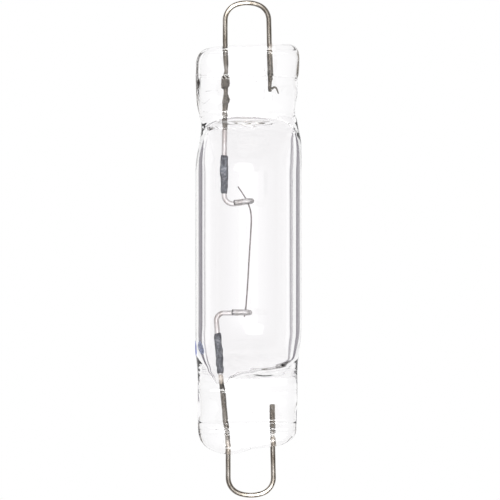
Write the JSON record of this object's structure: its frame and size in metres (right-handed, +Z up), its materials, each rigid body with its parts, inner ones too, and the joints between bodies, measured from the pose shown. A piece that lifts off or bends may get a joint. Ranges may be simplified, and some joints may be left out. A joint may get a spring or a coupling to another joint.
{
  "type": "double loop ended tubular lamp",
  "caption": "Tubular clear glass lamp with flat pinched ends, a wire loop at each end and a coiled filament held by hooked inner leads.",
  "frame": {"origin": "under the middle of the lamp, on the line where the tube rests", "axes": "+Y along the lamp towards the upper loop, +X across the flat of the pinches, +Z up from the side the lamp rests on"},
  "size_m": [0.0095, 0.0446, 0.0095],
  "materials": {
    "clear_glass": "clear, smooth, slightly uneven at the pinches",
    "loop_wire": "dull oxidised nickel-iron wire",
    "lead_wire": "bright nickel wire",
    "getter_coat": "rough blue-grey sintered getter coat",
    "filament_wire": "fine drawn tungsten coil",
    "blue_ink": "dried ink"
  },
  "bodies": {
    "root": {"glass_envelope": "clear_glass", "upper_loop": "loop_wire", "lower_loop": "loop_wire", "upper_lead": "lead_wire", "lower_lead": "lead_wire", "upper_getter": "getter_coat", "lower_getter": "getter_coat", "filament": "filament_wire", "ink_mark": "blue_ink"}
  },
  "joints": []
}
